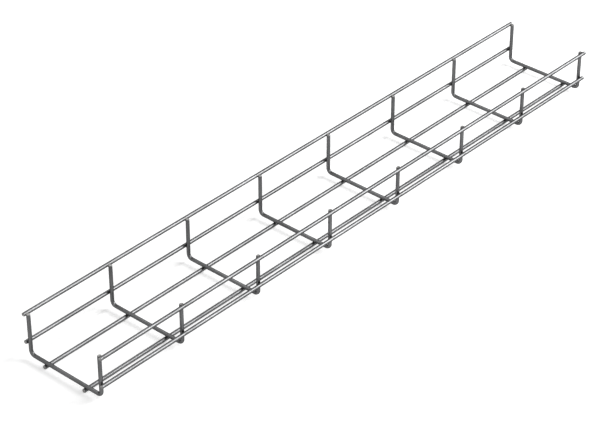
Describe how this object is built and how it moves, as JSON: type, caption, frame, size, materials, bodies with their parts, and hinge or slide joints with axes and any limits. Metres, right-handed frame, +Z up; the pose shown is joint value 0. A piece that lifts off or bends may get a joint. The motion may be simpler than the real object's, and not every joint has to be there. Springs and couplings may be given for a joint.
{
  "type": "wire mesh cable basket",
  "caption": "Open U-shaped cable tray section of welded wire mesh: bent cross wires inside straight long wires, open at the top and both ends.",
  "frame": {"origin": "on the surface that the floor wires rest on, at the middle of the basket", "axes": "+Z up towards the open top, +Y along the basket, +X across it"},
  "size_m": [0.1, 0.706, 0.05],
  "materials": {
    "zinc_wire": "zinc-plated drawn steel wire, grey, satin, bright along the top of each long wire"
  },
  "bodies": {
    "root": {"floor_wire_1": "zinc_wire", "floor_wire_2": "zinc_wire", "left_side_wire_1": "zinc_wire", "right_side_wire_1": "zinc_wire", "left_rim_wire": "zinc_wire", "right_rim_wire": "zinc_wire", "cross_wire_1": "zinc_wire", "cross_wire_2": "zinc_wire", "cross_wire_3": "zinc_wire", "cross_wire_4": "zinc_wire", "cross_wire_5": "zinc_wire", "cross_wire_6": "zinc_wire", "cross_wire_7": "zinc_wire", "cross_wire_8": "zinc_wire"}
  },
  "joints": []
}
